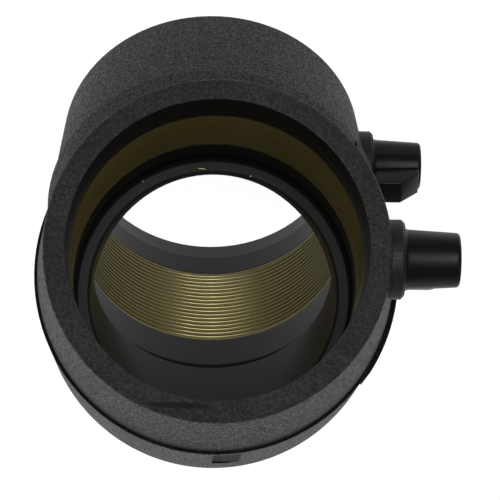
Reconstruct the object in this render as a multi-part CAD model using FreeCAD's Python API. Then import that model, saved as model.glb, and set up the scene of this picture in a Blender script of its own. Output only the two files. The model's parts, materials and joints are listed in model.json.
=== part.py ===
"""Electrofusion elbow, 45 degrees, for 63 mm polyethylene pipe.

One black moulded body has two equal pipe sockets. A single resistance wire is
wound into a coil on the wall of each socket, and its two ends are fixed to
contact pins. Each pin stands in a round shroud on the side of the body, under
a push-on cap.

The elbow stands on the mouth of its lower socket. The origin is the centre of
that mouth, +Z runs up the lower socket, and the upper socket leans towards -Y.
The terminals point along -X.
"""
import FreeCAD
import Part
import math
import os

Vector = FreeCAD.Vector

# Sockets
bend_angle = 45.0
bore_radius = 31.75
insertion_depth = 57.2
stop_from_centre = 13.3
stop_height = 3.5
stop_edge_chamfer = 0.65
stop_root_chamfer = 0.8
lead_in_depth = 6.0
lead_in_rise = 0.65

# Outer form of the body
mouth_wall = 4.55
mouth_edge_radius = 1.5
sleeve_length = 31.5
sleeve_flare = 2.4
waist_step = 0.65
waist_edge_chamfer = 0.15
waist_wall = 7.4
bend_radius = 20.0

# Raised pad and gate mark on the waist
pad_rise = 0.5
pad_half_angle = 29.5
gate_width = 5.9
gate_offset = 3.0
gate_start = 16.5
gate_length = 19.0
gate_depth = 0.4

# Heating wire
wire_diameter = 1.35
turn_pitch = 1.54
turn_count = 19
turn_relief = 0.6
coil_from_mouth = 12.8
link_depth = 2.8
link_corner = 1.2

# Terminal bosses and shrouds of the body
terminal_offset = 2.3
boss_radius = 8.6
boss_height = 2.35
boss_chamfer = 0.7
boss_root_depth = 5.0
shroud_height = 10.6
shroud_wall = 1.1
shroud_bore_radius = 4.5
shroud_floor_depth = 1.0

# Contact pins
pin_radius = 2.0
pin_base_margin = 0.1
pin_base_height = 1.5
pin_embedded_length = 3.2
pin_free_length = 9.2
pin_tip_chamfer = 0.5

# Caps
cap_clearance = 0.05
cap_wall = 0.85
cap_taper = 0.6
cap_end_gap = 0.2
cap_end_wall = 1.2
cap_end_radius = 0.9
cap_foot_flare = 0.8
lug_width = 5.9
lug_reach = 5.8
lug_corner = 4.6
lug_end_step = 0.8
gate_nub_radius = 0.45
gate_nub_height = 0.35
lower_cap_turn = 0.0
upper_cap_turn = 8.0

# Sizes that follow from the ones above
half_bend = math.radians(bend_angle / 2)
centre_to_mouth = stop_from_centre + insertion_depth
flow_radius = bore_radius - stop_height
mouth_bore_radius = bore_radius + lead_in_rise
mouth_radius = mouth_bore_radius + mouth_wall
flare_radius = mouth_radius + sleeve_flare
waist_radius = bore_radius + waist_wall
waist_front_radius = flare_radius + waist_step
waist_front = centre_to_mouth - sleeve_length
tangent_length = bend_radius * math.tan(half_bend)
coil_outer = centre_to_mouth - coil_from_mouth
coil_inner = coil_outer - turn_count * turn_pitch
coil_radius = bore_radius + wire_diameter
link_radius = bore_radius + link_depth
wire_radius = wire_diameter / 2
terminal_station = coil_outer + terminal_offset
bend_centre = Vector(0, 0, centre_to_mouth)


def sleeve_radius(station):
    """Outer radius of the flared sleeve at a distance from the bend centre."""
    share = (centre_to_mouth - station) / sleeve_length
    return mouth_radius + sleeve_flare * share


boss_face = sleeve_radius(terminal_station) + boss_height
shroud_radius = shroud_bore_radius + shroud_wall
shroud_end = boss_face + shroud_height
shroud_floor = boss_face - shroud_floor_depth
cap_bore_radius = shroud_radius + cap_clearance
cap_foot = cap_bore_radius + cap_wall
cap_top = cap_foot - cap_taper
cap_cavity_end = shroud_end + cap_end_gap
cap_end = cap_cavity_end + cap_end_wall
pin_base_radius = terminal_offset + turn_pitch / 2 + wire_radius + pin_base_margin
pin_base_face = shroud_floor - pin_embedded_length
pin_end = shroud_floor + pin_free_length

# Every socket is modelled upright about Z, with its own bend centre at the
# origin and its mouth up. These turns about X put it in its place.
LOWER_TURN = 180.0
UPPER_TURN = bend_angle
X_AXIS = Vector(1, 0, 0)
Y_AXIS = Vector(0, 1, 0)
Z_AXIS = Vector(0, 0, 1)
ORIGIN = Vector(0, 0, 0)


def placed(shape, turn):
    """A copy of a shape that was modelled on an upright socket, put in place."""
    copy = shape.copy()
    copy.rotate(ORIGIN, X_AXIS, turn)
    copy.translate(bend_centre)
    return copy


def turned_profile(edges):
    """The solid that a closed profile in the XZ plane makes about Z."""
    return Part.Face(Part.Wire(edges)).revolve(ORIGIN, Z_AXIS, 360)


def polyline(points):
    """Straight edges through (radius, height) points in the XZ plane."""
    corners = [Vector(r, 0, z) for r, z in points]
    return [Part.makeLine(a, b) for a, b in zip(corners, corners[1:])]


def turned_solid(points):
    """The solid that a straight-sided profile of (radius, height) points makes about Z."""
    return turned_profile(polyline(points + points[:1]))


def quarter_arc(start, centre, radius, from_angle, to_angle):
    """An arc in the XZ plane about a (radius, height) centre, given by its angles."""
    points = []
    for angle in (from_angle, (from_angle + to_angle) / 2, to_angle):
        a = math.radians(angle)
        points.append(Vector(centre[0] + radius * math.cos(a), 0, centre[1] + radius * math.sin(a)))
    points[0] = Vector(start[0], 0, start[1])
    return Part.Arc(*points).toShape(), (points[2].x, points[2].z)


def sleeve():
    """The flared outer sleeve of one socket, from the waist to the mouth."""
    slope = math.atan2(sleeve_flare, sleeve_length)
    edge = mouth_edge_radius
    # The rounded mouth edge touches both the flared side and the end face.
    rounding_height = centre_to_mouth - edge
    rounding_radius = (sleeve_radius(rounding_height) - edge / math.cos(slope))
    side_end = (rounding_radius + edge * math.cos(slope), rounding_height + edge * math.sin(slope))
    arc, face_edge = quarter_arc(
        side_end, (rounding_radius, rounding_height), edge, math.degrees(slope), 90
    )
    below = polyline([
        (0, centre_to_mouth),
        (0, waist_front),
        (flare_radius, waist_front),
        side_end,
    ])
    closing = polyline([face_edge, (0, centre_to_mouth)])
    return turned_profile(below + [arc] + closing)


def bend(radius):
    """The round outer back of the bend, between the two tangent planes."""
    disc = Part.Face(Part.Wire(Part.makeCircle(radius, Vector(0, 0, -tangent_length), Z_AXIS)))
    outside = Part.makePlane(
        2 * radius, 2 * radius, Vector(-radius, -bend_radius, -tangent_length), Z_AXIS
    )
    section = disc.common(outside).Faces[0]
    pivot = Vector(0, -bend_radius, -tangent_length)
    solid = section.revolve(pivot, X_AXIS, bend_angle)
    solid.translate(bend_centre)
    return solid


def waist(rise):
    """The thicker centre of the body between the two sleeves, raised by a given height."""
    front = waist_front_radius + rise
    straight = turned_solid([
        (0, tangent_length),
        (waist_radius + rise, tangent_length),
        (front, waist_front - waist_edge_chamfer),
        (front - waist_edge_chamfer, waist_front),
        (0, waist_front),
    ])
    both = placed(straight, LOWER_TURN).fuse(placed(straight, UPPER_TURN))
    return both.fuse(bend(waist_radius + rise))


def pad():
    """The raised pad on the terminal side of the waist."""
    inner_edge = (waist_radius + pad_rise) * math.cos(math.radians(pad_half_angle))
    span = 2 * centre_to_mouth
    slab = Part.makeBox(
        span, 2 * span, 2 * span, Vector(-inner_edge - span, -span, -span)
    )
    return waist(pad_rise).common(slab)


def gate_mark():
    """The shallow rectangle along the outer back of the waist, as deep at both ends."""
    slope = (waist_front_radius - waist_radius) / (waist_front - tangent_length)
    low = waist_radius + slope * (gate_start - tangent_length) - gate_depth
    high = low + slope * gate_length
    above = 2 * gate_depth
    end = gate_start + gate_length
    side = -gate_offset - gate_width / 2
    points = [(low, gate_start), (high, end), (high + above, end), (low + above, gate_start)]
    corners = [Vector(side, across, along) for across, along in points]
    face = Part.Face(Part.makePolygon(corners + corners[:1]))
    return placed(face.extrude(Vector(gate_width, 0, 0)), UPPER_TURN)


def socket_hollow():
    """The pipe's own space in one socket, from its flat stop to its lead-in."""
    past = 1.0
    past_radius = mouth_bore_radius + lead_in_rise * past / lead_in_depth
    return turned_solid([
        (0, stop_from_centre - stop_edge_chamfer),
        (flow_radius, stop_from_centre - stop_edge_chamfer),
        (flow_radius + stop_edge_chamfer, stop_from_centre),
        (bore_radius - stop_root_chamfer, stop_from_centre),
        (bore_radius, stop_from_centre + stop_root_chamfer),
        (bore_radius, centre_to_mouth - lead_in_depth),
        (past_radius, centre_to_mouth + past),
        (0, centre_to_mouth + past),
    ])


def flow_passage(turn, side_turn):
    """The straight flow bore behind one stop, up to the mitre plane."""
    behind = 2 * flow_radius * math.tan(half_bend)
    core = Part.makeCylinder(
        flow_radius, behind + stop_from_centre, Vector(0, 0, -behind)
    )
    size = 4 * bore_radius
    side = Part.makeBox(size, size, size, Vector(-size / 2, -size / 2, 0))
    return placed(core, turn).common(placed(side, side_turn))


def hollow():
    """All the open space inside the body."""
    shape = placed(socket_hollow(), LOWER_TURN).fuse(placed(socket_hollow(), UPPER_TURN))
    shape = shape.fuse(flow_passage(LOWER_TURN, LOWER_TURN + bend_angle / 2))
    return shape.fuse(flow_passage(UPPER_TURN, bend_angle / 2))


def onto_terminal(solid):
    """Lays a solid that was modelled up the Z axis along a terminal's axis."""
    solid.rotate(ORIGIN, Y_AXIS, -90)
    solid.translate(Vector(0, 0, terminal_station))
    return solid


def terminal_tower():
    """The moulded boss and shroud around one contact pin."""
    root = boss_face - boss_root_depth
    return onto_terminal(turned_solid([
        (0, root),
        (boss_radius, root),
        (boss_radius, boss_face - boss_chamfer),
        (boss_radius - boss_chamfer, boss_face),
        (shroud_radius, boss_face),
        (shroud_radius, shroud_end),
        (shroud_bore_radius, shroud_end),
        (shroud_bore_radius, shroud_floor),
        (0, shroud_floor),
    ]))


def contact_pin():
    """The brass pin that a welding lead's plug is pushed on to."""
    return onto_terminal(turned_solid([
        (0, pin_base_face),
        (pin_base_radius, pin_base_face),
        (pin_base_radius, pin_base_face + pin_base_height),
        (pin_radius, pin_base_face + pin_base_height),
        (pin_radius, pin_end - pin_tip_chamfer),
        (pin_radius - pin_tip_chamfer, pin_end),
        (0, pin_end),
    ]))


def coil():
    """The turns of one coil, seated in the socket's wall with their crests in the bore."""
    crest = bore_radius
    root = bore_radius + turn_relief
    points = [(coil_radius, coil_inner)]
    for turn in range(turn_count):
        start = coil_inner + turn * turn_pitch
        points.append((root, start))
        points.append((crest, start + turn_pitch / 2))
    points.append((root, coil_outer))
    points.append((coil_radius, coil_outer))
    return seam_aside(turned_solid(points))


def lead():
    """The end of the wire that runs out from a coil to the foot of its pin."""
    start = (bore_radius + coil_radius) / 2
    station = coil_outer - turn_pitch / 2
    return Part.makeCylinder(
        wire_radius, pin_base_face - start, Vector(-start, 0, station), Vector(-1, 0, 0)
    )


def link_run():
    """Half of the wire between the coils: out of one coil, then towards the bend."""
    start = (bore_radius + coil_radius) / 2
    station = coil_inner + turn_pitch / 2
    corner_start = Vector(link_radius - link_corner, 0, station)
    out = Part.makeCylinder(
        wire_radius, corner_start.x - start, Vector(start, 0, station), X_AXIS
    )
    section = Part.Face(Part.Wire(Part.makeCircle(wire_radius, corner_start, X_AXIS)))
    corner = section.revolve(corner_start - Vector(0, 0, link_corner), Y_AXIS, 90)
    along = Part.makeCylinder(
        wire_radius,
        station - link_corner - tangent_length,
        Vector(link_radius, 0, tangent_length),
    )
    return out.fuse(corner).fuse(along)


def link_bend():
    """The stretch of wire that follows the bend between the two straight runs."""
    start = Vector(link_radius, 0, -tangent_length)
    section = Part.Face(Part.Wire(Part.makeCircle(wire_radius, start, Z_AXIS)))
    pivot = Vector(0, -bend_radius, -tangent_length)
    solid = section.revolve(pivot, X_AXIS, bend_angle)
    solid.translate(bend_centre)
    return solid


def heating_wire():
    """The whole wire: both coils, the link between them and the two leads."""
    half = coil().fuse(lead()).fuse(link_run())
    whole = placed(half, LOWER_TURN).fuse(placed(half, UPPER_TURN))
    return whole.fuse(link_bend()).removeSplitter()


def cap_lug():
    """The block on the side of a cap that faces the bend, to pull it off by."""
    inside = (cap_bore_radius + cap_top) / 2
    outside = cap_foot + lug_reach
    end = cap_end - lug_end_step
    points = [
        (boss_face, inside),
        (boss_face, outside),
        (end - lug_corner, outside),
        (end, outside - lug_corner),
        (end, inside),
    ]
    corners = [
        Vector(-along, -lug_width / 2, terminal_station - aside) for along, aside in points
    ]
    face = Part.Face(Part.makePolygon(corners + corners[:1]))
    return face.extrude(Vector(0, lug_width, 0))


def cap(turn):
    """A push-on cap that covers a shroud and its pin, turned on it by an angle."""
    edge = cap_end_radius
    end_arc, end_edge = quarter_arc(
        (cap_top, cap_end - edge), (cap_top - edge, cap_end - edge), edge, 0, 90
    )
    side = polyline([
        (0, cap_cavity_end),
        (cap_bore_radius, cap_cavity_end),
        (cap_bore_radius, boss_face),
        (cap_foot + cap_foot_flare, boss_face),
        (cap_foot, boss_face + cap_foot_flare),
        (cap_top, cap_end - edge),
    ])
    end = polyline([
        end_edge,
        (gate_nub_radius, cap_end),
        (gate_nub_radius, cap_end + gate_nub_height),
        (0, cap_end + gate_nub_height),
        (0, cap_cavity_end),
    ])
    shell = onto_terminal(turned_profile(side + [end_arc] + end))
    whole = shell.fuse(cap_lug()).removeSplitter()
    whole.rotate(Vector(0, 0, terminal_station), X_AXIS, turn)
    return whole


def elbow_body(wire, pins):
    """The moulded body, with the wire and both pins held in it."""
    outer = placed(sleeve(), LOWER_TURN).fuse(placed(sleeve(), UPPER_TURN))
    outer = outer.fuse(waist(0)).fuse(pad())
    for turn in (LOWER_TURN, UPPER_TURN):
        outer = outer.fuse(placed(terminal_tower(), turn))
    body = outer.cut(gate_mark()).cut(hollow())
    # The wire is moulded in, so its seat is the wire's own shape.
    for turn in (LOWER_TURN, UPPER_TURN):
        body = body.cut(placed(coil_seat(), turn))
    for piece in [wire] + pins:
        body = body.cut(piece)
    return body.removeSplitter()


def coil_seat():
    """The ring that a coil takes up in the socket's wall."""
    ring = Part.makeCylinder(coil_radius, coil_outer - coil_inner, Vector(0, 0, coil_inner))
    middle = Part.makeCylinder(bore_radius, coil_outer - coil_inner, Vector(0, 0, coil_inner))
    return seam_aside(ring.cut(middle))


def seam_aside(ring):
    """Turns a ring so that its seam is clear of the wire that runs out of it at +X and -X."""
    ring.rotate(ORIGIN, Z_AXIS, 90)
    return ring


def export(name, shape):
    """Writes one piece to its own file."""
    solids = shape.Solids
    piece = solids[0] if len(solids) == 1 else Part.makeCompound(solids)
    piece.exportStep(os.path.join("parts", name + ".step"))
    print(name, len(solids), "solid", round(piece.Volume / 1000, 2), "cm3", piece.isValid())


def main():
    os.makedirs("parts", exist_ok=True)
    wire = heating_wire()
    pins = [placed(contact_pin(), turn) for turn in (LOWER_TURN, UPPER_TURN)]
    export("elbow_body", elbow_body(wire, pins))
    export("heating_wire", wire)
    turns = (LOWER_TURN, UPPER_TURN)
    cap_turns = (lower_cap_turn, upper_cap_turn)
    for name, turn, pin, cap_turn in zip(("lower", "upper"), turns, pins, cap_turns):
        export(name + "_terminal_pin", pin)
        export(name + "_terminal_cap", placed(cap(cap_turn), turn))


main()
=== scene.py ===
import bmesh
import bpy
import json
import math
from mathutils import Matrix, Vector


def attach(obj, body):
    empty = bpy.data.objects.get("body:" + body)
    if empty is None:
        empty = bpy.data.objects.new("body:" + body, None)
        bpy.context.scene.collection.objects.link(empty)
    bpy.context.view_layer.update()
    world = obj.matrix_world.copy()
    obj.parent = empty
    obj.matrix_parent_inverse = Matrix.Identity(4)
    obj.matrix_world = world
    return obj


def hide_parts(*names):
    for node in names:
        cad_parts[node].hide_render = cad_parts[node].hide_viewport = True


bl_info = {
    "name": "Electrofusion elbow",
    "version": (1, 0, 0),
    "blender": (4, 5, 0),
    "location": "View3D > Sidebar > Elbow",
    "description": "Dresses a 45 degree electrofusion elbow: body, windings, caps and studio",
    "category": "Object",
}

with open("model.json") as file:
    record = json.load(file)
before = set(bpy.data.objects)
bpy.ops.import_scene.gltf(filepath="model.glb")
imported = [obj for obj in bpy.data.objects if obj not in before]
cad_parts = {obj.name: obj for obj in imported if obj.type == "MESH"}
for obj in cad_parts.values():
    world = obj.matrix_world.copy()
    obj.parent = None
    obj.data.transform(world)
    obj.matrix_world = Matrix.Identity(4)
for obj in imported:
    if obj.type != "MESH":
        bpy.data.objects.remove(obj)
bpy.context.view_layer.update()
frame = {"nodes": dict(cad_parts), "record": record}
mounts = {mount["name"]: mount for mount in frame["record"]["mounts"]}

# Everything is in metres in the CAD's frame: +Z up the lower socket's axis, -Y the side that
# the upper socket leans to, and -X the side of the two terminals.
MM = 0.001
# How far a coil and its seat end short of the body's recess
RECESS_GAP = 0.02 * MM
# Steps of a full turn
COIL_STEPS = 96
CAP_STEPS = 64
# Points of a mesh that lie nearer than this are one
WELD_DISTANCE = 0.005 * MM
# Edges that bend by more than this look sharp on the turned pieces
SHARP_ANGLE = math.radians(35)


class ElbowSizes(bpy.types.PropertyGroup):
    """Sizes that every piece takes its place from."""

    centre_to_mouth: bpy.props.FloatProperty(
        name="Centre to mouth", description="From the bend's centre to either mouth",
        default=70.5 * MM, unit="LENGTH",
    )
    bend_angle: bpy.props.FloatProperty(
        name="Bend angle", description="Angle that the elbow turns the pipe by",
        default=math.radians(45), subtype="ANGLE",
    )
    bore_radius: bpy.props.FloatProperty(
        name="Bore radius", description="Radius of the socket's wall",
        default=mounts["upper_socket"]["dims"]["r_mm"] * MM, unit="LENGTH",
    )
    terminal_station: bpy.props.FloatProperty(
        name="Terminal station", description="From the bend's centre to a terminal's axis",
        default=60.0 * MM, unit="LENGTH",
    )


class WindingSizes(bpy.types.PropertyGroup):
    """Sizes and colour of the heating wire."""

    wire_diameter: bpy.props.FloatProperty(
        name="Wire diameter", description="Diameter of the bare wire",
        default=1.35 * MM, unit="LENGTH",
    )
    turn_pitch: bpy.props.FloatProperty(
        name="Turn pitch", description="Distance from one turn to the next",
        default=1.54 * MM, unit="LENGTH",
    )
    turn_count: bpy.props.IntProperty(
        name="Turns", description="Turns in each socket", default=19, min=2,
    )
    coil_from_mouth: bpy.props.FloatProperty(
        name="Coil from mouth", description="From the mouth to the outermost turn",
        default=12.8 * MM, unit="LENGTH",
    )
    wire_colour: bpy.props.FloatVectorProperty(
        name="Wire colour", description="Colour of the bare metal",
        default=(0.19, 0.161, 0.06), size=3, subtype="COLOR",
    )


class PlasticLook(bpy.types.PropertyGroup):
    """Colours and finish of the moulded pieces."""

    body_colour: bpy.props.FloatVectorProperty(
        name="Body colour", description="Colour of the moulded polyethylene",
        default=(0.0075, 0.0075, 0.0078), size=3, subtype="COLOR",
    )
    bloom_colour: bpy.props.FloatVectorProperty(
        name="Bloom colour", description="Colour of the dusty bloom on the moulded skin",
        default=(0.033, 0.0325, 0.032), size=3, subtype="COLOR",
    )
    # Painted shade: the colour that darkens the corners and the upper wall where shade falls
    painted_shade_colour: bpy.props.FloatVectorProperty(
        name="Shade colour", description="Colour of the plastic in its dark corners",
        default=(0.0008, 0.0008, 0.0008), size=3, subtype="COLOR",
    )
    # Painted glints: the colour of bright brass-coloured spots painted on the stop's face
    painted_glint_colour: bpy.props.FloatVectorProperty(
        name="Glint colour", description="Colour of the small brass glints by the stop",
        default=(0.75, 0.66, 0.3), size=3, subtype="COLOR",
    )
    cap_colour: bpy.props.FloatVectorProperty(
        name="Cap colour", description="Colour of the caps",
        default=(0.002, 0.002, 0.0023), size=3, subtype="COLOR",
    )
    grain_size: bpy.props.FloatProperty(
        name="Grain size", description="Size of the grain on the moulded skin",
        default=0.6 * MM, unit="LENGTH",
    )


class CapSizes(bpy.types.PropertyGroup):
    """Sizes of one push-on cap."""

    boss_face: bpy.props.FloatProperty(
        name="Boss face", description="From the socket's axis to the boss that a cap stands on",
        default=40.1 * MM, unit="LENGTH",
    )
    foot_radius: bpy.props.FloatProperty(
        name="Foot radius", description="Outer radius at the open end",
        default=6.5 * MM, unit="LENGTH",
    )
    top_radius: bpy.props.FloatProperty(
        name="Top radius", description="Outer radius at the closed end",
        default=5.9 * MM, unit="LENGTH",
    )
    height: bpy.props.FloatProperty(
        name="Height", description="From the boss to the closed end's face",
        default=12.0 * MM, unit="LENGTH",
    )
    end_rounding: bpy.props.FloatProperty(
        name="End rounding", description="Radius of the closed end's edge",
        default=0.9 * MM, unit="LENGTH",
    )
    wall: bpy.props.FloatProperty(
        name="Wall", description="Thickness of the side wall",
        default=0.85 * MM, unit="LENGTH",
    )
    lug_width: bpy.props.FloatProperty(
        name="Lug width", description="Width of the grip lug",
        default=5.9 * MM, unit="LENGTH",
    )
    lug_reach: bpy.props.FloatProperty(
        name="Lug reach", description="From the cap's axis to the lug's outer face",
        default=12.3 * MM, unit="LENGTH",
    )
    lug_corner: bpy.props.FloatProperty(
        name="Lug corner", description="Size of the lug's slanted corner",
        default=4.6 * MM, unit="LENGTH",
    )
    lug_end_step: bpy.props.FloatProperty(
        name="Lug end step", description="How far the lug ends short of the cap",
        default=0.8 * MM, unit="LENGTH",
    )
    upper_turn: bpy.props.FloatProperty(
        name="Upper cap's turn", description="How far round the upper cap sits on its shroud",
        default=math.radians(8), subtype="ANGLE",
    )


class StudioSettings(bpy.types.PropertyGroup):
    """Camera and light."""

    camera_distance: bpy.props.FloatProperty(
        name="Camera distance", description="From the camera to the bend's centre",
        default=0.71555, unit="LENGTH",
    )
    camera_aside: bpy.props.FloatProperty(
        name="Camera aside", description="From the bend's centre to the view's middle, across",
        default=0.00876, unit="LENGTH",
    )
    camera_above: bpy.props.FloatProperty(
        name="Camera above", description="From the bend's centre to the view's middle, upwards",
        default=0.01248, unit="LENGTH",
    )
    camera_tilt: bpy.props.FloatProperty(
        name="Tilt", description="Turn away from the near socket's axis, up the picture",
        default=-0.1827, subtype="ANGLE",
    )
    camera_pan: bpy.props.FloatProperty(
        name="Pan", description="Turn away from the near socket's axis, across the picture",
        default=0.0262, subtype="ANGLE",
    )
    camera_roll: bpy.props.FloatProperty(
        name="Roll", description="Turn of the picture", default=-0.0120, subtype="ANGLE",
    )
    lens: bpy.props.FloatProperty(
        name="Lens", description="Focal length in millimetres", default=220.64,
    )
    world_strength: bpy.props.FloatProperty(
        name="World strength", description="Light that comes from all sides", default=0.2,
    )


def sizes():
    """The sizes that every piece takes its place from."""
    return bpy.context.scene.elbow_sizes


def socket_place(name):
    """The matrix that puts an upright socket, centred on the bend, in its place."""
    turn = {"lower": math.pi, "upper": sizes().bend_angle}[name]
    centre = Matrix.Translation((0, 0, sizes().centre_to_mouth))
    return centre @ Matrix.Rotation(turn, 4, "X")


def new_piece(bm, name, material):
    """Makes an object of a finished bmesh, which rides on the elbow."""
    mesh = bpy.data.meshes.new(name)
    bmesh.ops.recalc_face_normals(bm, faces=bm.faces)
    bm.to_mesh(mesh)
    bm.free()
    mesh.shade_smooth()
    piece = bpy.data.objects.new(name, mesh)
    bpy.context.scene.collection.objects.link(piece)
    mesh.materials.append(material)
    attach(piece, "root")
    return piece


def turned(bm, outline, steps, closed=False):
    """Turns an outline of radii and heights about Z, a full turn."""
    points = [bm.verts.new((radius, 0, height)) for radius, height in outline]
    ends = points[1:] + points[:1] if closed else points[1:]
    edges = [bm.edges.new(pair) for pair in zip(points, ends)]
    bmesh.ops.spin(
        bm, geom=points + edges, cent=(0, 0, 0), axis=(0, 0, 1),
        angle=2 * math.pi, steps=steps, use_merge=True,
    )


def dress(node, material):
    """Gives a CAD node its finished material."""
    for slot in frame["nodes"][node].material_slots:
        slot.material = material


# Shader nodes

def set_inputs(tree, node, inputs):
    """Links a node's inputs to sockets or sets them to values, by name or number."""
    for name, value in inputs.items():
        if isinstance(value, bpy.types.NodeSocket):
            tree.links.new(value, node.inputs[name])
        else:
            node.inputs[name].default_value = value


def add_node(tree, kind, inputs=None, **options):
    """Adds a node with its own options and its inputs."""
    made = tree.nodes.new(kind)
    for option, value in options.items():
        setattr(made, option, value)
    set_inputs(tree, made, inputs or {})
    return made


def math_node(tree, operation, first, second=0.0, third=0.0):
    """The result of one operation on numbers."""
    inputs = {0: first, 1: second, 2: third}
    return add_node(tree, "ShaderNodeMath", inputs, operation=operation).outputs[0]


def product(tree, first, *others):
    """All the values multiplied, one after another."""
    for other in others:
        first = math_node(tree, "MULTIPLY", first, other)
    return first


def highest(tree, first, *others):
    """The highest of the values."""
    for other in others:
        first = math_node(tree, "MAXIMUM", first, other)
    return first


def weighted(tree, base, *terms):
    """A base, with each term's value times its weight added to it."""
    for value, weight in terms:
        base = math_node(tree, "MULTIPLY_ADD", value, weight, base)
    return base


def inverse(tree, mask):
    """A mask that is 1 where the other is 0."""
    return math_node(tree, "SUBTRACT", 1.0, mask)


def vector_math(tree, operation, first, second=(0, 0, 0)):
    """The result of one operation on vectors, a number where it gives one."""
    made = add_node(tree, "ShaderNodeVectorMath", {0: first, 1: second}, operation=operation)
    return made.outputs["Value" if operation in ("DOT_PRODUCT", "LENGTH") else "Vector"]


def axes_of(tree, vector):
    """A vector's X, Y and Z."""
    return add_node(tree, "ShaderNodeSeparateXYZ", {0: vector}).outputs


def vector_of(tree, x=0.0, y=0.0, z=0.0):
    """A vector of three values."""
    return add_node(tree, "ShaderNodeCombineXYZ", {"X": x, "Y": y, "Z": z}).outputs[0]


def ramp(tree, value, low, high, kind="LINEAR"):
    """A mask that goes from 0 at one value to 1 at the other."""
    inputs = {"Value": value, "From Min": low, "From Max": high}
    return add_node(tree, "ShaderNodeMapRange", inputs, interpolation_type=kind).outputs[0]


def soft_step(tree, value, low, high):
    """A ramp with rounded ends."""
    return ramp(tree, value, low, high, "SMOOTHSTEP")


def band(tree, value, low, high, soft):
    """A mask that is 1 between two values, with soft edges."""
    up = soft_step(tree, value, low - soft, low + soft)
    down = soft_step(tree, value, high + soft, high - soft)
    return product(tree, up, down)


def noise(tree, vector, scale, detail, roughness=0.5):
    """Soft cloudy noise, whose values lie about 0.5."""
    inputs = {"Vector": vector, "Scale": scale, "Detail": detail, "Roughness": roughness}
    return add_node(tree, "ShaderNodeTexNoise", inputs).outputs["Fac"]


def mix_colour(tree, factor, first, second):
    """Mixes two colours, each a socket or three numbers."""
    # A Mix node's colours go in at its inputs 6 and 7 and come out at its output 2.
    inputs = {0: factor}
    for number, colour in ((6, first), (7, second)):
        from_socket = isinstance(colour, bpy.types.NodeSocket)
        inputs[number] = colour if from_socket else (*colour, 1.0)
    return add_node(tree, "ShaderNodeMix", inputs, data_type="RGBA").outputs[2]


def raised(tree, height, strength, depth):
    """The normals of a surface that a height raises."""
    inputs = {"Strength": strength, "Distance": depth, "Height": height}
    return add_node(tree, "ShaderNodeBump", inputs).outputs[0]


# Effects that the materials share

def new_group(name, inputs, outputs):
    """An empty shader node group with named float or vector sockets."""
    group = bpy.data.node_groups.new(name, "ShaderNodeTree")
    for socket_name, kind, default in inputs:
        socket = group.interface.new_socket(socket_name, in_out="INPUT", socket_type=kind)
        if default is not None:
            socket.default_value = default
    for socket_name in outputs:
        group.interface.new_socket(
            socket_name, in_out="OUTPUT", socket_type="NodeSocketFloat",
        )
    start = group.nodes.new("NodeGroupInput").outputs
    end = group.nodes.new("NodeGroupOutput")
    return group, start, end


def place_group(tree, name, **inputs):
    """Puts a shared node group in a material, and gives its outputs."""
    shared = bpy.data.node_groups[name]
    return add_node(tree, "ShaderNodeGroup", inputs, node_tree=shared).outputs


def grain_group():
    """Moulded grain: a height for bump, a speckle that lightens the skin, and clouds."""
    coarse_share, cloud_share, coarse_height = 0.16, 0.028, 0.6
    speckle_range, cloud_range = (0.4, 0.62), (0.35, 0.65)
    group, start, end = new_group(
        "moulded_grain",
        [("Vector", "NodeSocketVector", None), ("Size", "NodeSocketFloat", 0.5 * MM)],
        ["Height", "Speckle", "Clouds"],
    )
    vector = start["Vector"]
    scale = math_node(group, "DIVIDE", 1.0, start["Size"])
    coarse_scale = product(group, scale, coarse_share)
    fine = noise(group, vector, scale, detail=5.0, roughness=0.7)
    coarse = noise(group, vector, coarse_scale, detail=4.0, roughness=0.55)
    clouds = noise(group, vector, product(group, scale, cloud_share), detail=2.0)
    set_inputs(group, end, {
        "Height": weighted(group, fine, (coarse, coarse_height)),
        "Speckle": ramp(group, fine, *speckle_range),
        "Clouds": ramp(group, clouds, *cloud_range),
    })


def scuff_group():
    """Fine scratches: a mask of thin broken lines that run one way."""
    line_turn, line_stretch = (0.4, 0.9, 0.3), (14.0, 1.0, 14.0)
    line_range, patch_range = (0.66, 0.74), (0.5, 0.62)
    group, start, end = new_group(
        "fine_scuffs",
        [("Vector", "NodeSocketVector", None), ("Scale", "NodeSocketFloat", 60.0),
         ("Amount", "NodeSocketFloat", 0.5)],
        ["Mask"],
    )
    drawn = add_node(
        group, "ShaderNodeMapping",
        {"Vector": start["Vector"], "Rotation": line_turn, "Scale": line_stretch},
    )
    lines = noise(group, drawn.outputs[0], start["Scale"], detail=2.0)
    patches = noise(group, start["Vector"], start["Scale"], detail=1.0)
    thin = ramp(group, lines, *line_range)
    here = ramp(group, patches, *patch_range)
    set_inputs(group, end, {"Mask": product(group, thin, here, start["Amount"])})


def elbow_place_group():
    """Where a point lies in its own socket: along the axis, out from it, and across it."""
    group, start, end = new_group(
        "elbow_place",
        [("Vector", "NodeSocketVector", None)],
        ["Along", "Out", "Side", "Across", "Upper"],
    )
    centre = (0, 0, sizes().centre_to_mouth)
    offset = vector_math(group, "SUBTRACT", start["Vector"], centre)
    across = axes_of(group, offset)["X"]
    found = {}
    for name in ("lower", "upper"):
        turn = socket_place(name).to_3x3()
        along = vector_math(group, "DOT_PRODUCT", offset, tuple(turn @ Vector((0, 0, 1))))
        side = vector_math(group, "DOT_PRODUCT", offset, tuple(turn @ Vector((0, 1, 0))))
        out = vector_math(group, "LENGTH", vector_of(group, across, side))
        found[name] = {"Along": along, "Out": out, "Side": side}
    upper = math_node(
        group, "GREATER_THAN", found["upper"]["Along"], found["lower"]["Along"],
    )
    for socket_name, low in found["lower"].items():
        rise = math_node(group, "SUBTRACT", found["upper"][socket_name], low)
        set_inputs(group, end, {socket_name: weighted(group, low, (upper, rise))})
    set_inputs(group, end, {"Upper": upper, "Across": across})


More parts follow.
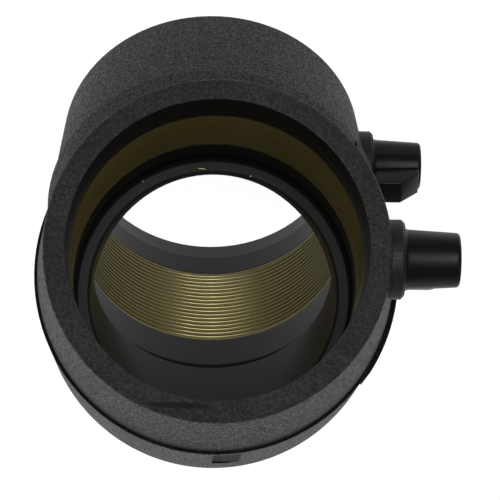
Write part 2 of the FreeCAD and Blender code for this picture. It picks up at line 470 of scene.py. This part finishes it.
def mark_group():
    """One oval mark: 1 in its middle, 0 outside it."""
    rim, core = 1.15, 0.6
    group, start, end = new_group(
        "oval_mark",
        [("Vector", "NodeSocketVector", None), ("Centre", "NodeSocketVector", None),
         ("Direction", "NodeSocketVector", (1, 0, 0)), ("Length", "NodeSocketFloat", 1 * MM),
         ("Width", "NodeSocketFloat", 0.3 * MM)],
        ["Mask"],
    )
    offset = vector_math(group, "SUBTRACT", start["Vector"], start["Centre"])
    along = vector_math(group, "DOT_PRODUCT", offset, start["Direction"])
    off_line = vector_math(group, "CROSS_PRODUCT", offset, start["Direction"])
    aside = vector_math(group, "LENGTH", off_line)
    long_share = math_node(group, "DIVIDE", along, start["Length"])
    wide_share = math_node(group, "DIVIDE", aside, start["Width"])
    reach = vector_math(group, "LENGTH", vector_of(group, long_share, wide_share))
    set_inputs(group, end, {"Mask": soft_step(group, reach, rim, core)})


def flow_group():
    """Fine streaks round a socket, as the melt leaves them on a moulded sleeve."""
    across_share, height_share, streak_range = 0.22, 0.12, (0.36, 0.64)
    group, start, end = new_group(
        "flow_streaks",
        [("Vector", "NodeSocketVector", None), ("Along", "NodeSocketFloat", 0.0),
         ("Scale", "NodeSocketFloat", 500.0)],
        ["Streaks"],
    )
    parts = axes_of(group, start["Vector"])
    drawn = vector_of(
        group, product(group, parts["X"], across_share),
        product(group, parts["Z"], height_share), start["Along"],
    )
    lines = noise(group, drawn, start["Scale"], detail=3.0, roughness=0.6)
    set_inputs(group, end, {"Streaks": ramp(group, lines, *streak_range)})


class ELBOW_OT_shared_effects(bpy.types.Operator):
    """Makes the grain, scuff, mark and place groups that the materials share"""

    bl_idname = "elbow.shared_effects"
    bl_label = "Shared effects"

    def execute(self, context):
        grain_group()
        scuff_group()
        elbow_place_group()
        mark_group()
        flow_group()
        return {"FINISHED"}


# Materials

# Specular level of the body's and the caps' plastic
PLASTIC_GLOSS = 0.18

# Bands of the body, by their distance from the bend's centre along a socket: the start, the
# end and the softness of both edges
# The first three bands are painted shade: beside the stop, at the waist's step and on the upper
# socket's wall.
PAINTED_SHADE_BY_STOP = (13.4 * MM, 18.7 * MM, 0.5 * MM)
PAINTED_SHADE_TO_MOUTH = (18.4 * MM, 70.4 * MM, 0.3 * MM)
PAINTED_SHADE_BY_WAIST = (38.9 * MM, 39.25 * MM, 0.1 * MM)
GATE_ALONG = (16.3 * MM, 37.0 * MM, 0.3 * MM)
GATE_ACROSS = (-6.1 * MM, 0.1 * MM, 0.25 * MM)

# Borders of the body's zones: where a mask is 0, and where it is 1
PAST_WALL = (1.4 * MM, 1.1 * MM)  # out from the bore's wall
BEHIND_MOUTH = (-0.05 * MM, -0.2 * MM)  # from the mouth's face
BEHIND_EDGE = (70.3 * MM, 69.8 * MM)  # along the socket
PAST_STOP = (13.4 * MM, 13.2 * MM)  # along the socket
ROUND_TERMINAL = (9.3 * MM, 8.9 * MM)  # from the terminal's axis
TERMINAL_SIDE = (-36.0 * MM, -37.0 * MM)  # across, towards the terminals
BACK_OF_BEND = (20 * MM, 21 * MM)  # from the socket's axis to the bend's back

# Marks on the upper socket, on that socket stood upright and in millimetres: the centre, the
# direction, the length and the width
SMUDGE = ((8.2, 33.4, 70.5), (1, -0.03, 0), 8.0, 0.75)
SCRATCHES = (
    ((-26.7, 23.3, 70.5), (-0.8, 0.6, 0), 1.7, 0.3),
    ((-14.8, 31.8, 70.5), (1, 0, 0), 0.5, 0.35),
    ((14.2, -34.4, 70.4), (0.9, 0.4, 0), 0.9, 0.35),
)
# Painted glints: bright spots on the stop's face, painted in a brass colour
PAINTED_GLINTS = (
    ((16.9, -26.5, 13.3), (0.8, -0.6, 0), 0.8, 0.14),
    ((2.9, -29.3, 13.3), (1, -0.1, 0), 1.0, 0.1),
    ((-8.2, -27.6, 13.3), (1, 0.5, 0), 0.45, 0.14),
)


def new_material(name, finish):
    """A material with its shader's plain values, and the piece's own coordinates."""
    material = bpy.data.materials.new(name)
    material.use_nodes = True
    tree = material.node_tree
    shader = tree.nodes["Principled BSDF"]
    set_inputs(tree, shader, finish)
    place = add_node(tree, "ShaderNodeTexCoord").outputs["Object"]
    return material, tree, shader, place


def oval_mark(tree, place, centre, direction, length, width):
    """A mark on the upper socket, given in millimetres on that socket stood upright."""
    upright = socket_place("upper")
    heading = (upright.to_3x3() @ Vector(direction)).normalized()
    mark = place_group(
        tree, "oval_mark", Vector=place, Centre=tuple(upright @ (Vector(centre) * MM)),
        Direction=tuple(heading), Length=length * MM, Width=width * MM,
    )
    return mark["Mask"]


def body_zones(tree, where):
    """Masks of the body's zones, from where a point lies in its socket."""
    along, mouth, wall = where["Along"], sizes().centre_to_mouth, sizes().bore_radius
    near_axis = soft_step(tree, where["Out"], *(wall + past for past in PAST_WALL))
    inwards = soft_step(tree, along, *(mouth + past for past in BEHIND_MOUTH))
    bore = product(tree, near_axis, inwards)
    outside = inverse(tree, bore)
    # The terminals' collars are smoother than the sleeves that they stand on.
    collar_skin = -0.8
    past = math_node(tree, "SUBTRACT", along, sizes().terminal_station)
    from_terminal = vector_math(tree, "LENGTH", vector_of(tree, past, where["Side"]))
    collar = product(
        tree, soft_step(tree, from_terminal, *ROUND_TERMINAL),
        soft_step(tree, where["Across"], *TERMINAL_SIDE),
    )
    skin = product(tree, outside, weighted(tree, 1.0, (collar, collar_skin)))
    return {
        "bore": bore,
        "passage": product(tree, bore, soft_step(tree, along, *PAST_STOP)),
        "outside": outside,
        "skin": skin,
        "sleeve": product(tree, soft_step(tree, along, *BEHIND_EDGE), skin),
    }


def dull_marks(tree, place, where):
    """The smudge on the near face and the mark that the mould's gate left on the back."""
    gate_share = 0.75
    gate = product(
        tree, band(tree, where["Across"], *GATE_ACROSS),
        band(tree, where["Along"], *GATE_ALONG),
        soft_step(tree, where["Side"], *BACK_OF_BEND), where["Upper"], gate_share,
    )
    return highest(tree, oval_mark(tree, place, *SMUDGE), gate)


def painted_corner_shade(tree, where, zones):
    """Painted shade in the corner beside the stop, before the waist and on the upper wall."""
    step_share, wall_share = 0.8, 0.5
    along = where["Along"]
    corner = product(tree, band(tree, along, *PAINTED_SHADE_BY_STOP), zones["bore"])
    step = product(tree, band(tree, along, *PAINTED_SHADE_BY_WAIST), zones["outside"], step_share)
    wall = product(
        tree, band(tree, along, *PAINTED_SHADE_TO_MOUTH), zones["bore"], where["Upper"], wall_share,
    )
    return highest(tree, corner, step, wall)


def body_material():
    """Black moulded polyethylene: grainy and dusty outside, smoother in the bores."""
    look = bpy.context.scene.plastic_look
    material, tree, shader, place = new_material(
        "moulded_polyethylene", {"Specular IOR Level": PLASTIC_GLOSS},
    )
    where = place_group(tree, "elbow_place", Vector=place)
    grain = place_group(tree, "moulded_grain", Vector=place, Size=look.grain_size)
    scuffs = place_group(tree, "fine_scuffs", Vector=place, Scale=45.0, Amount=0.6)
    flow = place_group(tree, "flow_streaks", Vector=place, Along=where["Along"])
    zones = body_zones(tree, where)
    dulled = dull_marks(tree, place, where)
    # Painted shade in the corners and on the upper wall
    painted_shade = painted_corner_shade(tree, where, zones)
    # On the sleeves the speckle also darkens the skin, so flecks run from -0.6 to 0.6.
    fleck_reach = 0.6
    flecks = weighted(tree, -fleck_reach, (grain["Speckle"], 2 * fleck_reach))

    # Dusty bloom: plastic is clean at 0 and palest at 1.
    clean, cloudy, speckled, haze, scratched = -0.2, 0.3, 0.9, 0.15, 2.0
    bloom = weighted(
        tree, clean, (grain["Clouds"], cloudy), (grain["Speckle"], speckled),
        (flecks, zones["sleeve"]),
    )
    bloom = weighted(
        tree, product(tree, bloom, zones["skin"]), (zones["bore"], haze),
        (zones["passage"], haze), (scuffs["Mask"], zones["outside"]),
    )
    bloom = product(tree, bloom, inverse(tree, dulled))
    for mark in SCRATCHES:
        bloom = weighted(tree, bloom, (oval_mark(tree, place, *mark), scratched))
    painted_glints = highest(tree, *(oval_mark(tree, place, *mark) for mark in PAINTED_GLINTS))
    colour = mix_colour(tree, bloom, look.body_colour, look.bloom_colour)
    # Painted shade darkens the corners and the upper wall.
    colour = mix_colour(tree, painted_shade, colour, look.painted_shade_colour)
    # Painted glints lighten three small spots by the stop.
    colour = mix_colour(tree, painted_glints, colour, look.painted_glint_colour)

    # Speckle and flecks shine a little more than the skin, and painted shade and marks are
    # dull.
    bore_rough, skin_rough, speckle_rough, fleck_rough = 0.34, 0.2, -0.12, -0.2
    painted_shade_rough, dull_rough = 0.5, 0.3
    rough = weighted(
        tree, bore_rough, (zones["outside"], skin_rough),
        (product(tree, grain["Speckle"], zones["outside"]), speckle_rough),
        (product(tree, flecks, zones["sleeve"]), fleck_rough), (painted_shade, painted_shade_rough),
        (dulled, dull_rough),
    )
    # The sleeves' grain is twice as deep as that of the other skin.
    streak_height = 0.1
    height = weighted(tree, grain["Height"], (flow["Streaks"], streak_height))
    height = product(
        tree, height, zones["skin"], math_node(tree, "ADD", zones["sleeve"], 1.0),
    )
    set_inputs(tree, shader, {
        "Base Color": colour, "Roughness": rough,
        "Normal": raised(tree, height, strength=0.9, depth=0.35 * MM),
    })
    return material


def wire_material():
    """Bare resistance wire: olive gold metal, a little uneven from turn to turn."""
    dull_share, dull_range = (0.82, 0.84, 0.75), (0.35, 0.7)
    least_rough, uneven = 0.22, 0.05
    bright = bpy.context.scene.winding_sizes.wire_colour
    material, tree, shader, place = new_material("resistance_wire", {
        "Metallic": 0.6, "Coat Weight": 0.2, "Coat Roughness": 0.1,
        "Coat Tint": (1.0, 0.9, 0.5, 1.0),
    })
    patches = noise(tree, place, scale=45.0, detail=1.0)
    dull = tuple(value * share for value, share in zip(bright, dull_share))
    set_inputs(tree, shader, {
        "Base Color": mix_colour(tree, ramp(tree, patches, *dull_range), dull, bright),
        "Roughness": weighted(tree, least_rough, (patches, uneven)),
    })
    return material


def cap_material():
    """Glossy black cap plastic with handling marks."""
    least_rough, uneven = 0.28, 0.1
    look = bpy.context.scene.plastic_look
    material, tree, shader, place = new_material(
        "cap_plastic", {"Specular IOR Level": PLASTIC_GLOSS},
    )
    grain = place_group(tree, "moulded_grain", Vector=place, Size=0.9 * MM)
    scuffs = place_group(tree, "fine_scuffs", Vector=place, Scale=70.0, Amount=0.5)
    set_inputs(tree, shader, {
        "Base Color": mix_colour(tree, scuffs["Mask"], look.cap_colour, look.bloom_colour),
        "Roughness": weighted(tree, least_rough, (grain["Clouds"], uneven)),
        "Normal": raised(tree, grain["Height"], strength=0.12, depth=0.1 * MM),
    })
    return material


def pin_material():
    """Plain turned brass of the contact pins."""
    dark, bright = (0.50, 0.36, 0.15), (0.72, 0.56, 0.28)
    least_rough, uneven = 0.2, 0.2
    material, tree, shader, place = new_material("pin_brass", {"Metallic": 1.0})
    patches = noise(tree, place, scale=400.0, detail=2.0)
    set_inputs(tree, shader, {
        "Base Color": mix_colour(tree, patches, dark, bright),
        "Roughness": weighted(tree, least_rough, (patches, uneven)),
    })
    return material


# Pieces

class ELBOW_OT_moulded_body(bpy.types.Operator):
    """Gives the moulded body its grainy polyethylene skin"""

    bl_idname = "elbow.moulded_body"
    bl_label = "Moulded body"

    def execute(self, context):
        dress("elbow_body", body_material())
        return {"FINISHED"}


def winding(name, material):
    """One coil of round wire on a socket's wall, whose end turns lie level."""
    wire = bpy.context.scene.winding_sizes
    radius = wire.wire_diameter / 2
    sides = 12
    turns = wire.turn_count - 1
    outer = sizes().centre_to_mouth - wire.coil_from_mouth - radius - RECESS_GAP
    drop = wire.turn_count * wire.turn_pitch - wire.wire_diameter - 2 * RECESS_GAP
    bm = bmesh.new()

    def spin_turn(height, fall, closed):
        """Spins the wire's outline, stood up on the wall at one height, one full turn."""
        there = Matrix.Translation((sizes().bore_radius + radius, 0, height))
        section = bmesh.ops.create_circle(
            bm, radius=radius, segments=sides,
            matrix=there @ Matrix.Rotation(math.pi / 2, 4, "X"),
        )["verts"]
        section += dict.fromkeys(edge for vert in section for edge in vert.link_edges)
        bmesh.ops.spin(
            bm, geom=section, cent=(0, 0, 0), axis=(0, 0, 1), angle=2 * math.pi,
            dvec=(0, 0, -fall / COIL_STEPS), steps=COIL_STEPS, use_merge=closed,
        )

    spin_turn(outer, drop / turns, False)
    one_turn = bm.verts[:] + bm.edges[:] + bm.faces[:]
    for turn in range(1, turns):
        copy = bmesh.ops.duplicate(bm, geom=one_turn)["geom"]
        verts = [item for item in copy if isinstance(item, bmesh.types.BMVert)]
        bmesh.ops.translate(bm, verts=verts, vec=(0, 0, -drop / turns * turn))
    bmesh.ops.remove_doubles(bm, verts=bm.verts, dist=WELD_DISTANCE)
    bmesh.ops.holes_fill(bm, edges=[edge for edge in bm.edges if edge.is_boundary], sides=sides)
    # A level ring at each end hides where the wire starts and stops.
    for height in (outer, outer - drop):
        spin_turn(height, 0.0, True)
    bmesh.ops.transform(bm, matrix=socket_place(name), verts=bm.verts)
    return new_piece(bm, name + "_winding", material)


def seat(name, material):
    """The plastic that a coil is sunk in: it fills the gaps between and beside the turns."""
    wire = bpy.context.scene.winding_sizes
    wall = sizes().bore_radius
    outer = sizes().centre_to_mouth - wire.coil_from_mouth - RECESS_GAP
    inner = outer - wire.turn_count * wire.turn_pitch + 2 * RECESS_GAP
    back_gap, lip_sink, lip_width = 0.05 * MM, 0.03 * MM, 0.3 * MM
    back = wall + wire.wire_diameter - back_gap
    filled = wall + wire.wire_diameter / 2
    lip = wall + lip_sink
    # The plastic slopes down from each lip over as much again as the lip is wide.
    slope_end = 2 * lip_width
    outline = [
        (back, inner), (lip, inner), (lip, inner + lip_width), (filled, inner + slope_end),
        (filled, outer - slope_end), (lip, outer - lip_width), (lip, outer), (back, outer),
    ]
    bm = bmesh.new()
    turned(bm, outline, COIL_STEPS, closed=True)
    bmesh.ops.transform(bm, matrix=socket_place(name), verts=bm.verts)
    piece = new_piece(bm, name + "_coil_seat", material)
    piece.data.set_sharp_from_angle(angle=SHARP_ANGLE)


class ELBOW_OT_windings(bpy.types.Operator):
    """Winds the heating wire on the wall of both sockets"""

    bl_idname = "elbow.windings"
    bl_label = "Windings"

    def execute(self, context):
        material = wire_material()
        for name in ("lower", "upper"):
            piece = winding(name, material)
            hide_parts("heating_wire")
            seat(name, bpy.data.materials["moulded_polyethylene"])
        return {"FINISHED"}


def cap_shell(bm, size, base, end):
    """Turns a cap's shell, with a flared foot, a rounded end and the nub of its gate."""
    # The flare gives distances out from the foot, the nub its own radii, both with heights.
    flare = ((0.6 * MM, 0.0), (0.15 * MM, 0.35 * MM), (0.0, 0.9 * MM))
    nub = ((0.45 * MM, 0.0), (0.4 * MM, 0.3 * MM), (0.0, 0.35 * MM))
    rounding, rounding_steps = size.end_rounding, 5
    outline = [(size.foot_radius - size.wall, base)]
    outline += [(size.foot_radius + out, base + up) for out, up in flare]
    outline.append((size.top_radius, end - rounding))
    for step in range(1, rounding_steps + 1):
        angle = step * math.pi / (2 * rounding_steps)
        outline.append((
            size.top_radius - rounding + rounding * math.cos(angle),
            end - rounding + rounding * math.sin(angle),
        ))
    outline += [(radius, end + up) for radius, up in nub]
    turned(bm, outline, CAP_STEPS)
    bmesh.ops.remove_doubles(bm, verts=bm.verts, dist=WELD_DISTANCE)


def cap_lug(bm, size, base, end):
    """Adds a cap's grip lug, which reaches towards +X with one slanted corner."""
    root_share, edge_rounding, edge_steps = 0.6, 0.35 * MM, 3
    top = end - size.lug_end_step
    inner = size.top_radius * root_share
    profile = [
        (inner, base), (size.lug_reach, base), (size.lug_reach, top - size.lug_corner),
        (size.lug_reach - size.lug_corner, top), (inner, top),
    ]
    side = [bm.verts.new((x, -size.lug_width / 2, z)) for x, z in profile]
    grown = bmesh.ops.extrude_face_region(bm, geom=[bm.faces.new(side)])
    moved = [item for item in grown["geom"] if isinstance(item, bmesh.types.BMVert)]
    bmesh.ops.translate(bm, verts=moved, vec=(0, size.lug_width, 0))
    lug_verts = side + moved
    lug_edges = [
        edge for edge in bm.edges if all(vert in lug_verts for vert in edge.verts)
    ]
    bmesh.ops.bevel(
        bm, geom=lug_edges, offset=edge_rounding, offset_type="OFFSET", segments=edge_steps,
        profile=0.5, affect="EDGES", material=-1, clamp_overlap=True,
    )


def cap(name, material):
    """One push-on cap, made upright and then laid on its terminal."""
    size = bpy.context.scene.cap_sizes
    base, end = size.boss_face, size.boss_face + size.height
    bm = bmesh.new()
    cap_shell(bm, size, base, end)
    cap_lug(bm, size, base, end)
    # +Z of the cap is laid along -X, and +X of the cap towards the bend's centre.
    lay = Matrix(((0, 0, -1, 0), (0, 1, 0, 0), (-1, 0, 0, 0), (0, 0, 0, 1)))
    turn = Matrix.Rotation({"lower": 0.0, "upper": size.upper_turn}[name], 4, "X")
    station = Matrix.Translation((0, 0, sizes().terminal_station))
    bmesh.ops.transform(bm, matrix=socket_place(name) @ station @ turn @ lay, verts=bm.verts)
    piece = new_piece(bm, name + "_cap", material)
    piece.data.set_sharp_from_angle(angle=SHARP_ANGLE)
    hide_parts(name + "_terminal_cap")


class ELBOW_OT_caps(bpy.types.Operator):
    """Makes the push-on caps of both terminals"""

    bl_idname = "elbow.caps"
    bl_label = "Terminal caps"

    def execute(self, context):
        material = cap_material()
        for name in ("lower", "upper"):
            cap(name, material)
        return {"FINISHED"}


class ELBOW_OT_contact_pins(bpy.types.Operator):
    """Gives the contact pins under the caps their brass"""

    bl_idname = "elbow.contact_pins"
    bl_label = "Contact pins"

    def execute(self, context):
        material = pin_material()
        for name in ("lower", "upper"):
            dress(name + "_terminal_pin", material)
        return {"FINISHED"}


# Studio

# Each lamp's name, place, width, height and power in watts
LAMPS = (
    ("front_panel", (0.0, -0.8, 1.05), 0.9, 0.5, 8.3),
    ("left_strip", (-0.27, -0.77, 0.85), 0.05, 0.35, 1.2),
    ("middle_strip", (0.0, -0.8, 0.9), 0.04, 0.45, 1.5),
    ("side_lamp", (-0.84, 0.06, 0.61), 0.12, 0.3, 0.4),
    ("back_panel", (0.25, 1.0, 0.5), 1.8, 0.7, 3.5),
)

# The floor that gloss shows white: along an axis, where that starts and where it is full
WHITE_IN_GLOSS = (("Y", -0.24, -0.12), ("Y", 1.2, 0.6), ("X", 1.3, 0.8), ("X", -0.5, -0.2))
# Painted shadow of the elbow on that floor, as gloss sees it, by the distance from the middle
# of its foot
PAINTED_SHADOW_UNDER = (0.05, 0.03)
PAINTED_SHADOW_ROUND = (0.042, 0.09, 0.008)


def floor_material():
    """A pale floor that the camera sees as white, and that keeps the elbow's shadow; in gloss a
    painted shadow darkens it round the elbow's foot.
    """
    material, tree, shader, place = new_material("studio_floor", {
        "Roughness": 0.9, "Specular IOR Level": 0.0, "Emission Color": (1, 1, 1, 1),
    })
    path = add_node(tree, "ShaderNodeLightPath").outputs
    axes = axes_of(tree, place)
    reach = vector_math(tree, "LENGTH", place)
    under_share, round_share = 0.25, 0.5
    # Painted shadow: gloss sees the floor darker under and round the elbow's foot
    painted_shade = highest(
        tree, product(tree, soft_step(tree, reach, *PAINTED_SHADOW_UNDER), under_share),
        product(tree, band(tree, reach, *PAINTED_SHADOW_ROUND), round_share),
    )
    glossy = product(
        tree, inverse(tree, painted_shade), path["Is Glossy Ray"],
        *(soft_step(tree, axes[axis], none, full) for axis, none, full in WHITE_IN_GLOSS),
    )
    seen = highest(tree, path["Is Camera Ray"], path["Is Transmission Ray"], glossy)
    # Where the floor is seen it glows white, so its own colour is darker there.
    unseen_colour, seen_colour, glow = (0.4, 0.4, 0.4), (0.1, 0.1, 0.1), 0.98
    set_inputs(tree, shader, {
        "Base Color": mix_colour(tree, seen, unseen_colour, seen_colour),
        "Emission Strength": product(tree, seen, glow),
    })
    return material


def lay_floor(scene):
    """Lays a wide plain floor under the elbow."""
    half_width = 4.0
    bm = bmesh.new()
    bmesh.ops.create_grid(bm, x_segments=1, y_segments=1, size=half_width)
    mesh = bpy.data.meshes.new("floor")
    bm.to_mesh(mesh)
    bm.free()
    mesh.materials.append(floor_material())
    floor = bpy.data.objects.new("floor", mesh)
    scene.collection.objects.link(floor)


def area_light(scene, target, name, place, width, height, power):
    """Hangs a soft rectangular lamp that faces a point."""
    data = bpy.data.lights.new(name, "AREA")
    data.shape = "RECTANGLE"
    data.size = width
    data.size_y = height
    data.energy = power
    lamp = bpy.data.objects.new(name, data)
    scene.collection.objects.link(lamp)
    facing = (Vector(target) - Vector(place)).to_track_quat("-Z", "Y")
    lamp.matrix_world = Matrix.Translation(place) @ facing.to_matrix().to_4x4()


def light_world(scene, strength):
    """A world that the camera sees as white, and that lights the elbow a little."""
    world = bpy.data.worlds.new("studio_light")
    world.use_nodes = True
    tree = world.node_tree
    seen = add_node(tree, "ShaderNodeLightPath").outputs["Is Camera Ray"]
    set_inputs(tree, tree.nodes["Background"], {
        "Color": (1, 1, 1, 1), "Strength": highest(tree, seen, strength),
    })
    scene.world = world


def place_camera(scene, studio, centre):
    """Looks down the near socket, half a turn from its own upright, as the photograph does."""
    view = Matrix.Rotation(studio.camera_roll, 3, "Z")
    view = view @ Matrix.Rotation(studio.camera_pan, 3, "Y")
    view = view @ Matrix.Rotation(studio.camera_tilt, 3, "X")
    facing = socket_place("upper").to_3x3() @ Matrix.Rotation(math.pi, 3, "Z")
    facing = facing @ view.transposed()
    back = Vector((studio.camera_aside, studio.camera_above, studio.camera_distance))
    data = bpy.data.cameras.new("camera")
    data.sensor_width = 36.0
    data.lens = studio.lens
    data.clip_start = 0.01
    camera = bpy.data.objects.new("camera", data)
    scene.collection.objects.link(camera)
    camera.matrix_world = Matrix.Translation(Vector(centre) + facing @ back) @ facing.to_4x4()
    scene.camera = camera


class ELBOW_OT_studio(bpy.types.Operator):
    """Sets the floor, the light and the camera of the photograph"""

    bl_idname = "elbow.studio"
    bl_label = "Studio"

    def execute(self, context):
        scene = context.scene
        studio = scene.studio_settings
        centre = (0, 0, sizes().centre_to_mouth)
        lay_floor(scene)
        for lamp in LAMPS:
            area_light(scene, centre, *lamp)
        light_world(scene, studio.world_strength)
        place_camera(scene, studio, centre)
        scene.view_settings.view_transform = "Standard"
        return {"FINISHED"}


# The panel and the add-on's classes

class ELBOW_PT_panel(bpy.types.Panel):
    """Lists the elbow's sizes and its pieces"""

    bl_label = "Electrofusion elbow"
    bl_idname = "ELBOW_PT_panel"
    bl_space_type = "VIEW_3D"
    bl_region_type = "UI"
    bl_category = "Elbow"

    def draw(self, context):
        for group in GROUPS:
            box = self.layout.box()
            settings = getattr(context.scene, group)
            for name in settings.bl_rna.properties.keys():
                if name not in ("rna_type", "name"):
                    box.prop(settings, name)
        for operator in OPERATORS:
            self.layout.operator(operator.bl_idname)


GROUPS = {
    "elbow_sizes": ElbowSizes,
    "winding_sizes": WindingSizes,
    "cap_sizes": CapSizes,
    "plastic_look": PlasticLook,
    "studio_settings": StudioSettings,
}
OPERATORS = (
    ELBOW_OT_shared_effects,
    ELBOW_OT_moulded_body,
    ELBOW_OT_windings,
    ELBOW_OT_caps,
    ELBOW_OT_contact_pins,
    ELBOW_OT_studio,
)


def register():
    for name, group in GROUPS.items():
        bpy.utils.register_class(group)
        setattr(bpy.types.Scene, name, bpy.props.PointerProperty(type=group))
    for operator in OPERATORS:
        bpy.utils.register_class(operator)
    bpy.utils.register_class(ELBOW_PT_panel)


def unregister():
    bpy.utils.unregister_class(ELBOW_PT_panel)
    for operator in reversed(OPERATORS):
        bpy.utils.unregister_class(operator)
    for name, group in GROUPS.items():
        delattr(bpy.types.Scene, name)
        bpy.utils.unregister_class(group)


def main():
    register()
    bpy.ops.elbow.shared_effects()
    bpy.ops.elbow.moulded_body()
    bpy.ops.elbow.windings()
    bpy.ops.elbow.caps()
    bpy.ops.elbow.contact_pins()
    bpy.ops.elbow.studio()


if __name__ == "__main__":
    main()
